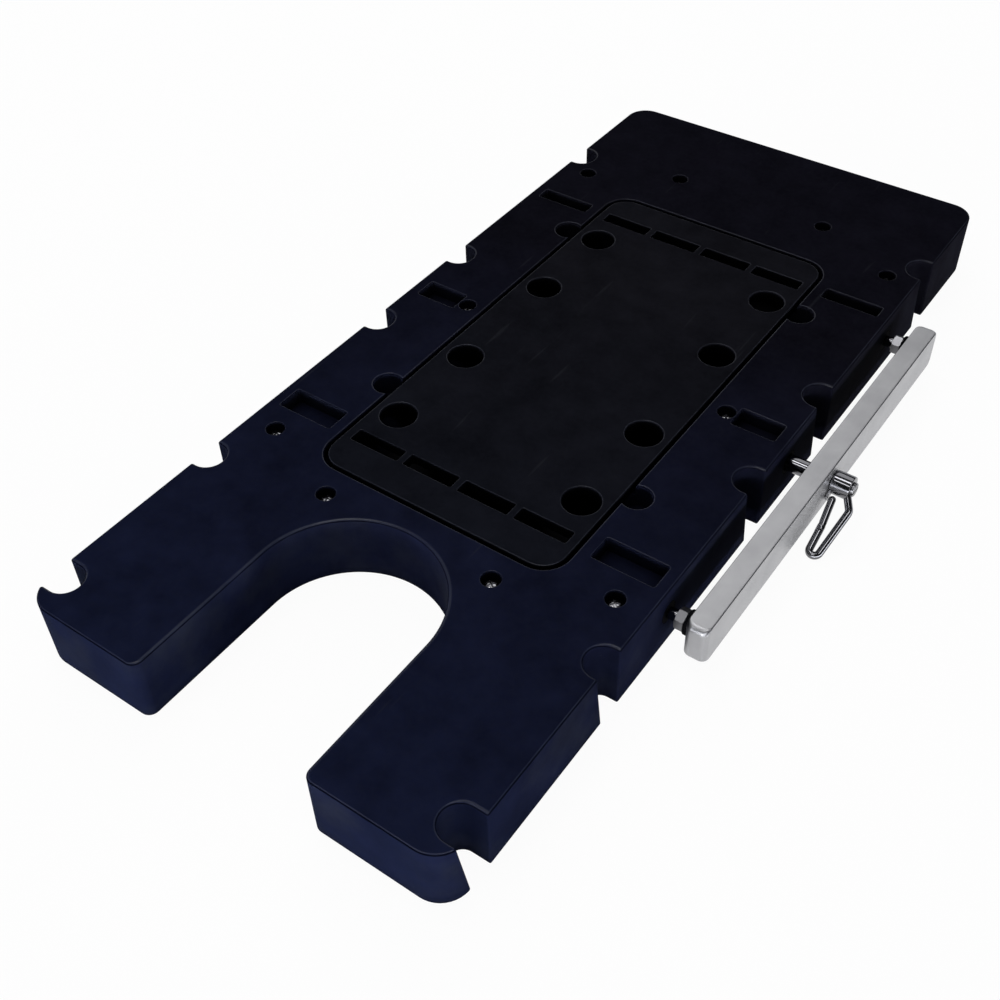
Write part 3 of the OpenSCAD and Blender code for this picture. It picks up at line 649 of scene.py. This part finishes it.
for end, y in (("front", -studsAt), ("back", studsAt)):
    place = alongX(0, y, axis)
    low, high = boxOf(end + "_stud")
    profile = [(0, low.x), (stud["tailTip"], low.x), (stud["tail"], low.x + stud["bevel"])]
    profile += [(stud["tail"], stud["shoulder"]), (stud["shoulderEdge"], stud["shoulder"])]
    profile += [(stud["body"], stud["shoulder"] + stud["shoulderBevel"])]
    profile += [(stud["body"], high.x - stud["bevel"]), (stud["bodyTip"], high.x), (0, high.x)]
    dress(revolve(end + "_stud_rod", profile, place), chromeLook, "board", [end + "_stud"])

    low, high = boxOf(end + "_lock_nut")
    turns = [math.radians(60 * i) for i in range(6)]
    corners = [(nut["corner"] * math.cos(t), nut["corner"] * math.sin(t)) for t in turns]
    hexNut = loft(end + "_nut", [(corners, low.x), (corners, high.x)], place)
    first = low.x - nut["over"]
    last = high.x + nut["over"]
    cone = [(0, first), (nut["face"], first), (nut["cone"], low.x + nut["coneDeep"])]
    cone += [(nut["cone"], high.x - nut["coneDeep"]), (nut["face"], last), (0, last)]
    carve(hexNut, [revolve("tool", cone, place)], "INTERSECT")
    carve(hexNut, [rod(low.x - past, high.x + past, nut["hole"], y)])
    dress(hexNut, nutLook, "board", [end + "_lock_nut"], 20)

    low, high = boxOf(end + "_rail_washer")
    radius = (high.y - low.y) / 2
    bevel = washer["bevel"]
    profile = [(washer["hole"], low.x), (radius - bevel, low.x), (radius, low.x + bevel)]
    profile += [(radius, high.x - bevel), (radius - bevel, high.x), (washer["hole"], high.x)]
    ring = revolve(end + "_washer", profile, place, closed=True)
    dress(ring, washerLook, "board", [end + "_rail_washer"])

bushes = {
    "front_wall": (bush["studHole"], -studsAt), "back_wall": (bush["studHole"], studsAt),
    "pin_wall": (bush["pinHole"], 0),
}
for name, (hole, y) in bushes.items():
    low, high = boxOf(name + "_bush")
    radius = (high.y - low.y) / 2
    profile = [(hole, low.x), (radius, low.x), (radius, high.x - bush["rim"])]
    profile += [(radius - bush["rim"], high.x), (hole + bush["mouth"], high.x)]
    profile += [(hole, high.x - bush["mouth"])]
    ring = revolve(name + "_ring", profile, alongX(0, y, axis), closed=True)
    dress(ring, bushLook, "board", [name + "_bush"])
print("studs, nuts, washers and bushes ready")

# Lock pin and its end screw

pinLow, pinHigh = boxOf("lock_pin")
tipLow, tipHigh = boxOf("link_end_screw")
pinShape = {
    "nose": ((4.3, 0), (4.7, 0.2), (6, 1.5)), "radius": 6, "clear": 0.3, "shoulderBevel": 0.3,
    "shoulderEdge": 5.7, "spigot": 4, "bore": 2.52, "boreClear": 0.3,
}
endShape = {
    "shank": 2.5, "head": 5, "edge": ((5, 0.7), (4.8, 0.3), (4.3, 0)), "slotDeep": 1.1, "slotHalf": 0.6,
    "slotReach": 6,
}
shoulder = railHigh.x + pinShape["clear"]
boreEnd = tipLow.x - pinShape["boreClear"]
profile = [(0, pinLow.x)] + [(radius, pinLow.x + along) for radius, along in pinShape["nose"]]
profile += [(pinShape["radius"], shoulder - pinShape["shoulderBevel"]), (pinShape["shoulderEdge"], shoulder)]
profile += [(pinShape["spigot"], shoulder), (pinShape["spigot"], pinHigh.x)]
profile += [(pinShape["bore"], pinHigh.x), (pinShape["bore"], boreEnd), (0, boreEnd)]
pin = revolve("pin", profile, alongX(0, 0, axis))
dress(pin, chromeLook, "pin", ["lock_pin"])
profile = [(0, tipLow.x), (endShape["shank"], tipLow.x), (endShape["shank"], pinHigh.x)]
profile += [(endShape["head"], pinHigh.x)]
profile += [(radius, tipHigh.x - along) for radius, along in endShape["edge"]] + [(0, tipHigh.x)]
endScrew = revolve("end_screw", profile, alongX(0, 0, axis))
low = (tipHigh.x - endShape["slotDeep"], -endShape["slotReach"], axis - endShape["slotHalf"])
high = (tipHigh.x + past, endShape["slotReach"], axis + endShape["slotHalf"])
carve(endScrew, [block("tool", low, high)])
dress(endScrew, nutLook, "pin", ["link_end_screw"])
print("pin ready")

# Snap link

link = {
    "bar": 2.7, "tipX": 204.15, "tipReach": 49, "tipRadius": 3.6, "armRise": 4.6, "overlap": 0.3,
    "bulge": (212.384, 15.5), "bulgeRadius": 6, "root": (205.15, 4),
    "barrel": (193.75, 207.15), "barrelRadius": 8.5, "barrelEdge": 0.7, "barrelCorner": 0.2,
    "bore": 4.05, "screwRoom": 5.3, "screwRoomLong": 12,
    "nose": (1.9, 6), "noseCorner": 0.6, "noseIn": 1, "gap": 0.3, "swell": 0.15,
    "hinge": 32, "tongueHalf": 1, "tongueIn": 1, "rivetHole": 1.05, "rivetReach": 6,
    "gate": 2.6, "gateGap": 1.3,
}
armX = link["tipX"] - link["tipRadius"]
armTop = link["hinge"] + link["gate"] * math.sqrt(2) + link["gap"]
tipDrop = axis - link["bar"] - link["swell"] - link["gap"]  # the tip rests on the floor
lean = math.asin(tipDrop / (link["tipReach"] + link["tipRadius"]))
gateTipX = link["barrel"][0] + link["nose"][0] + link["gap"] + link["gate"]
gateTip = link["barrelRadius"] + link["gateGap"] + link["gate"]
gateLean = math.atan2(armX - gateTipX, link["hinge"] - gateTip)
gateLength = math.hypot(armX - gateTipX, link["hinge"] - gateTip)
hang = Matrix.Translation((0, 0, axis)) @ Matrix.Rotation(lean - math.radians(90), 4, "X")
hinge = hang @ Matrix.Translation((armX, 0, -link["hinge"])) @ Matrix.Rotation(-gateLean, 4, "Y")
crossways = hinge @ Matrix.Rotation(math.radians(90), 4, "X")
upright = hang @ Matrix.Rotation(math.radians(90), 4, "X")

tip = (link["tipX"], -link["tipReach"])
armLean = math.degrees(math.atan2(link["armRise"], link["tipReach"] - link["bulge"][1]))
path = [(armX, link["overlap"] - armTop - link["overlap"] * i) for i in range(3)]
path += arc(tip, link["tipRadius"], 180, 360 - armLean, 20)
start = Vector(path[-1])
bulge = Vector((link["bulge"][0], -link["bulge"][1]))
root = Vector((link["root"][0], -link["root"][1]))
inward = (bulge - start).normalized()
outward = (root - bulge).normalized()
turn = inward.angle(outward)
cut = link["bulgeRadius"] * math.tan(turn / 2)
centre = bulge - cut * inward + link["bulgeRadius"] * Vector((-inward.y, inward.x))
bend = heading(centre, bulge - cut * inward)
path += arc(centre, link["bulgeRadius"], bend, bend + math.degrees(turn), 14)
path.append(tuple(root))
bars = sweep("bars", [Vector((x, 0, z)) for x, z in path], link["bar"], hang)

low, high = link["barrel"]
radius = link["barrelRadius"]
edge = link["barrelEdge"]
corner = link["barrelCorner"]
profile = [(link["bore"], low), (radius - edge, low), (radius - corner, low + corner), (radius, low + edge)]
profile += [(radius, high - edge), (radius - corner, high - corner), (radius - edge, high)]
profile += [(link["bore"], high)]
snap = revolve("snap", profile, alongX(0, 0, axis), closed=True)
noseHalf = link["nose"][0] / 2
noseTop = link["noseIn"] - radius
ring = roundedRect(noseHalf, link["gate"], link["noseCorner"], 0, (low + noseHalf, 0))
nose = loft("nose", [(ring, noseTop - link["nose"][1]), (ring, noseTop)], hang)
ring = arc((armX, -link["hinge"]), link["gate"], 0, 180, 16)
ring += [(armX + side * link["gate"], -armTop - link["tongueIn"]) for side in (-1, 1)]
tongue = loft("tongue", [(ring, -link["tongueHalf"]), (ring, link["tongueHalf"])], upright)
carve(snap, [bars, nose, tongue], "UNION")
carve(snap, [rod(low - past, high + past, link["bore"], 0)])
carve(snap, [rod(high, high + link["screwRoomLong"], link["screwRoom"], 0)])
carve(snap, [cylinder(link["rivetHole"], -link["rivetReach"], link["rivetReach"], crossways)])
dress(snap, chromeLook, "link", ["snap_link"])
print("link ready", len(snap.data.polygons))

# Gate and its rivet

gateShape = {
    "edge": 0.3, "forkHalf": 1.3, "forkReach": 5, "forkClear": 0.3, "rivetHole": 1.02,
    "springRoom": 1.15, "springFrom": 2, "springLong": 9.6, "rivet": 1, "rivetEdge": 0.3,
}
radius = link["gate"]
edge = gateShape["edge"]
profile = [(0, -radius), (radius - edge, -radius), (radius, edge - radius)]
profile += dome(radius, gateLength, radius)
gate = revolve("gate_arm", profile, hinge)
reach = gateShape["forkReach"]
half = gateShape["forkHalf"]
fork = block("tool", (-reach, -half, -reach), (reach, half, radius + gateShape["forkClear"]), hinge)
rivetHole = cylinder(gateShape["rivetHole"], -link["rivetReach"], link["rivetReach"], crossways)
springEnd = radius + gateShape["springLong"]
carve(gate, [fork, rivetHole, cylinder(gateShape["springRoom"], gateShape["springFrom"], springEnd, hinge)])
dress(gate, chromeLook, "gate", ["gate"])
wide = gateShape["rivet"]
edge = gateShape["rivetEdge"]
profile = [(0, -radius), (wide - edge, -radius), (wide, edge - radius)]
profile += [(wide, radius - edge), (wide - edge, radius), (0, radius)]
dress(revolve("rivet", profile, crossways, 24), nutLook, "gate", ["gate_rivet"])
print("gate ready", len(gate.data.polygons))

# Nodes that keep their own shape

plainNodes = {
    "base_cover": coverLook, "thread_inserts": brassLook, "gate_spring": screwLook,
    "front_anchor_washer": screwLook, "back_anchor_washer": screwLook,
    "front_anchor_nut": screwLook, "back_anchor_nut": screwLook,
}
for node, look in plainNodes.items():
    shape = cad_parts[node]
    shape.data.materials.clear()
    shape.data.materials.append(look)

# Floor, light and camera

ground = {"reach": 8, "drop": 0.0004, "share": 0.95, "shade": 0.45}
studio = {  # place, aim, size and power
    "back": ((-1.05, 1.42, 1.76), (0, 0, 0), (2.2, 2.2), 22),
    "over": ((-0.34, -0.15, 2.26), (-0.34, 0.1, 0), (0.9, 0.4), 8.5),
    "front": ((-0.34, -1.25, 1.89), (0, 0, 0), (0.9, 0.3), 4.5),
    "right": ((0.85, -0.54, 2.16), (0.2, 0, 0), (1.0, 0.45), 8),
}
tent = {"dome": (0.05, 0.052, 0.057), "walls": (16, 16.4, 17), "wallTop": (0.06, 0.2), "weakest": 0.15}
photo = {
    "place": (0.38440, -0.63369, 0.63905), "forward": (-0.42256, 0.56974, -0.70487),
    "level": (0.80320, 0.59571, 0), "roll": 1.745, "lens": 46.77, "sensor": 36, "near": 0.01,
}


def litWhite(name, share, shade):  # white to the camera and in reflections, and a darker matt to the light
    made = bpy.data.materials.new(name)
    wire = shaderTree(made)
    seen = wire.node("LightPath", out="Is Camera Ray") + wire.node("LightPath", out="Is Glossy Ray")
    seen = (seen + wire.node("LightPath", out="Is Transmission Ray")).clamp(0, 1)
    matt = wire.node("BsdfDiffuse", {}, {"Color": seen.mix((shade, shade, shade), (1, 1, 1))})
    glow = wire.node("Emission", {}, {"Color": (1, 1, 1, 1), "Strength": 1.0})
    mixed = wire.node("MixShader", {}, {0: seen * share, 1: matt, 2: glow})
    wire.node("OutputMaterial", {}, {"Surface": mixed})
    return made


reach = ground["reach"]
corners = [(-reach, -reach), (reach, -reach), (reach, reach), (-reach, reach)]
sheet = bpy.data.meshes.new("floor")
sheet.from_pydata([(x, y, -ground["drop"]) for x, y in corners], [], [(0, 1, 2, 3)])
floor = newObject("floor", sheet)
floor.data.materials.append(litWhite("floor_white", ground["share"], ground["shade"]))

for name, (place, aim, (wide, high), power) in studio.items():
    light = bpy.data.lights.new(name, "AREA")
    light.shape = "RECTANGLE"
    light.size = wide
    light.size_y = high
    light.energy = power
    lamp = newObject(name + "_lamp", light)
    lamp.location = place
    lamp.rotation_euler = (Vector(aim) - Vector(place)).to_track_quat("-Z", "Y").to_euler()

world = bpy.data.worlds.new("studio")
sky = shaderTree(world)
walls = 1 - sky.coordinate("Generated", "Z").clamp(*tent["wallTop"])  # low light, as in a white tent
facing = sky.coordinate("Generated", "X") * 0.25 - sky.coordinate("Generated", "Y") * 0.97
near = facing.clamp(-0.5, 0.5) * (1 - tent["weakest"]) + tent["weakest"]  # weaker behind the board
glow = (walls * near).mix(tent["dome"], tent["walls"])
back = sky.node("Background", {}, {"Color": glow, "Strength": 1.0})
sky.node("OutputWorld", {}, {"Surface": back})
bpy.context.scene.world = world

forward = Vector(photo["forward"])
level = Vector(photo["level"])
roll = math.radians(photo["roll"])
right = math.cos(roll) * level + math.sin(roll) * forward.cross(level)
up = right.cross(forward)
lens = bpy.data.cameras.new("photo")
lens.lens = photo["lens"]
lens.sensor_width = photo["sensor"]
lens.clip_start = photo["near"]
camera = newObject("photo_camera", lens)
camera.matrix_world = Matrix((right, up, -forward)).transposed().to_4x4()
camera.location = photo["place"]
bpy.context.scene.camera = camera
bpy.context.scene.view_settings.view_transform = "Standard"
print("stage ready")
